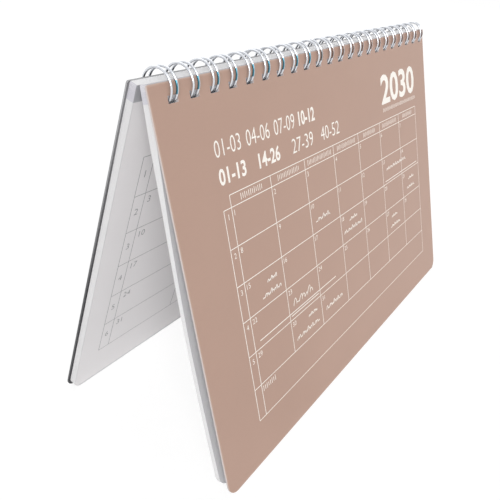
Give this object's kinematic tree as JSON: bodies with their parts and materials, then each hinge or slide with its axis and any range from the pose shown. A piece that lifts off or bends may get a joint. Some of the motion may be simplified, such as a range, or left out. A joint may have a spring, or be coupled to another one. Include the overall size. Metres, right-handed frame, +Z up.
{
  "type": "wire-bound desk diary",
  "caption": "Landscape desk calendar diary bound along its top edge with twin-loop wire; covers and leaves turn on the wire and stand open as a tent.",
  "frame": {"origin": "on the desk under the middle of the tent", "axes": "+X along the wire, +Y towards the back, +Z up"},
  "size_m": [0.286, 0.1154, 0.1856],
  "materials": {
    "wire_steel": "bright silver-coated steel wire",
    "front_card": "satin laminated card in taupe, pale core at the edges",
    "back_card": "grey board lined with matt dark card, grey at the edges",
    "leaf_paper": "smooth white writing paper"
  },
  "bodies": {
    "wire": {"wire_binding": "wire_steel"},
    "front_cover": {"front_cover": "front_card"},
    "front_leaf_01": {"front_leaf_01": "leaf_paper"},
    "front_leaf_02": {"front_leaf_02": "leaf_paper"},
    "front_leaf_03": {"front_leaf_03": "leaf_paper"},
    "front_leaf_04": {"front_leaf_04": "leaf_paper"},
    "front_leaf_05": {"front_leaf_05": "leaf_paper"},
    "front_leaf_06": {"front_leaf_06": "leaf_paper"},
    "front_leaf_07": {"front_leaf_07": "leaf_paper"},
    "front_leaf_08": {"front_leaf_08": "leaf_paper"},
    "front_leaf_09": {"front_leaf_09": "leaf_paper"},
    "front_leaf_10": {"front_leaf_10": "leaf_paper"},
    "back_leaf_01": {"back_leaf_01": "leaf_paper"},
    "back_leaf_02": {"back_leaf_02": "leaf_paper"},
    "back_leaf_03": {"back_leaf_03": "leaf_paper"},
    "back_leaf_04": {"back_leaf_04": "leaf_paper"},
    "back_leaf_05": {"back_leaf_05": "leaf_paper"},
    "back_leaf_06": {"back_leaf_06": "leaf_paper"},
    "back_leaf_07": {"back_leaf_07": "leaf_paper"},
    "back_leaf_08": {"back_leaf_08": "leaf_paper"},
    "back_leaf_09": {"back_leaf_09": "leaf_paper"},
    "back_leaf_10": {"back_leaf_10": "leaf_paper"},
    "back_leaf_11": {"back_leaf_11": "leaf_paper"},
    "back_leaf_12": {"back_leaf_12": "leaf_paper"},
    "back_leaf_13": {"back_leaf_13": "leaf_paper"},
    "back_leaf_14": {"back_leaf_14": "leaf_paper"},
    "back_leaf_15": {"back_leaf_15": "leaf_paper"},
    "back_leaf_16": {"back_leaf_16": "leaf_paper"},
    "back_cover": {"back_cover": "back_card"}
  },
  "joints": [
    {"name": "front_half_lean", "type": "hinge", "parent": "wire", "child": "front_leaf_10", "pos_m": [0, 0, 0.17762], "axis": [1, 0, 0], "range_deg": [-25, 15]},
    {"name": "front_leaf_09_turn", "type": "hinge", "parent": "front_leaf_10", "child": "front_leaf_09", "pos_m": [0, 0, 0.17762], "axis": [1, 0, 0], "range_deg": [-3, 0]},
    {"name": "front_leaf_08_turn", "type": "hinge", "parent": "front_leaf_09", "child": "front_leaf_08", "pos_m": [0, 0, 0.17762], "axis": [1, 0, 0], "range_deg": [-3, 0]},
    {"name": "front_leaf_07_turn", "type": "hinge", "parent": "front_leaf_08", "child": "front_leaf_07", "pos_m": [0, 0, 0.17762], "axis": [1, 0, 0], "range_deg": [-3, 0]},
    {"name": "front_leaf_06_turn", "type": "hinge", "parent": "front_leaf_07", "child": "front_leaf_06", "pos_m": [0, 0, 0.17762], "axis": [1, 0, 0], "range_deg": [-3, 0]},
    {"name": "front_leaf_05_turn", "type": "hinge", "parent": "front_leaf_06", "child": "front_leaf_05", "pos_m": [0, 0, 0.17762], "axis": [1, 0, 0], "range_deg": [-3, 0]},
    {"name": "front_leaf_04_turn", "type": "hinge", "parent": "front_leaf_05", "child": "front_leaf_04", "pos_m": [0, 0, 0.17762], "axis": [1, 0, 0], "range_deg": [-3, 0]},
    {"name": "front_leaf_03_turn", "type": "hinge", "parent": "front_leaf_04", "child": "front_leaf_03", "pos_m": [0, 0, 0.17762], "axis": [1, 0, 0], "range_deg": [-3, 0]},
    {"name": "front_leaf_02_turn", "type": "hinge", "parent": "front_leaf_03", "child": "front_leaf_02", "pos_m": [0, 0, 0.17762], "axis": [1, 0, 0], "range_deg": [-3, 0]},
    {"name": "front_leaf_01_turn", "type": "hinge", "parent": "front_leaf_02", "child": "front_leaf_01", "pos_m": [0, 0, 0.17762], "axis": [1, 0, 0], "range_deg": [-3, 0]},
    {"name": "front_cover_turn", "type": "hinge", "parent": "front_leaf_01", "child": "front_cover", "pos_m": [0, 0, 0.17762], "axis": [1, 0, 0], "range_deg": [-67, 0]},
    {"name": "back_half_lean", "type": "hinge", "parent": "wire", "child": "back_leaf_01", "pos_m": [0, 0, 0.17762], "axis": [1, 0, 0], "range_deg": [-15, 25]},
    {"name": "back_leaf_02_turn", "type": "hinge", "parent": "back_leaf_01", "child": "back_leaf_02", "pos_m": [0, 0, 0.17762], "axis": [1, 0, 0], "range_deg": [0, 2]},
    {"name": "back_leaf_03_turn", "type": "hinge", "parent": "back_leaf_02", "child": "back_leaf_03", "pos_m": [0, 0, 0.17762], "axis": [1, 0, 0], "range_deg": [0, 2]},
    {"name": "back_leaf_04_turn", "type": "hinge", "parent": "back_leaf_03", "child": "back_leaf_04", "pos_m": [0, 0, 0.17762], "axis": [1, 0, 0], "range_deg": [0, 2]},
    {"name": "back_leaf_05_turn", "type": "hinge", "parent": "back_leaf_04", "child": "back_leaf_05", "pos_m": [0, 0, 0.17762], "axis": [1, 0, 0], "range_deg": [0, 2]},
    {"name": "back_leaf_06_turn", "type": "hinge", "parent": "back_leaf_05", "child": "back_leaf_06", "pos_m": [0, 0, 0.17762], "axis": [1, 0, 0], "range_deg": [0, 2]},
    {"name": "back_leaf_07_turn", "type": "hinge", "parent": "back_leaf_06", "child": "back_leaf_07", "pos_m": [0, 0, 0.17762], "axis": [1, 0, 0], "range_deg": [0, 2]},
    {"name": "back_leaf_08_turn", "type": "hinge", "parent": "back_leaf_07", "child": "back_leaf_08", "pos_m": [0, 0, 0.17762], "axis": [1, 0, 0], "range_deg": [0, 2]},
    {"name": "back_leaf_09_turn", "type": "hinge", "parent": "back_leaf_08", "child": "back_leaf_09", "pos_m": [0, 0, 0.17762], "axis": [1, 0, 0], "range_deg": [0, 2]},
    {"name": "back_leaf_10_turn", "type": "hinge", "parent": "back_leaf_09", "child": "back_leaf_10", "pos_m": [0, 0, 0.17762], "axis": [1, 0, 0], "range_deg": [0, 2]},
    {"name": "back_leaf_11_turn", "type": "hinge", "parent": "back_leaf_10", "child": "back_leaf_11", "pos_m": [0, 0, 0.17762], "axis": [1, 0, 0], "range_deg": [0, 2]},
    {"name": "back_leaf_12_turn", "type": "hinge", "parent": "back_leaf_11", "child": "back_leaf_12", "pos_m": [0, 0, 0.17762], "axis": [1, 0, 0], "range_deg": [0, 2]},
    {"name": "back_leaf_13_turn", "type": "hinge", "parent": "back_leaf_12", "child": "back_leaf_13", "pos_m": [0, 0, 0.17762], "axis": [1, 0, 0], "range_deg": [0, 2]},
    {"name": "back_leaf_14_turn", "type": "hinge", "parent": "back_leaf_13", "child": "back_leaf_14", "pos_m": [0, 0, 0.17762], "axis": [1, 0, 0], "range_deg": [0, 2]},
    {"name": "back_leaf_15_turn", "type": "hinge", "parent": "back_leaf_14", "child": "back_leaf_15", "pos_m": [0, 0, 0.17762], "axis": [1, 0, 0], "range_deg": [0, 2]},
    {"name": "back_leaf_16_turn", "type": "hinge", "parent": "back_leaf_15", "child": "back_leaf_16", "pos_m": [0, 0, 0.17762], "axis": [1, 0, 0], "range_deg": [0, 2]},
    {"name": "back_cover_turn", "type": "hinge", "parent": "back_leaf_16", "child": "back_cover", "pos_m": [0, 0, 0.17762], "axis": [1, 0, 0], "range_deg": [0, 65]}
  ]
}
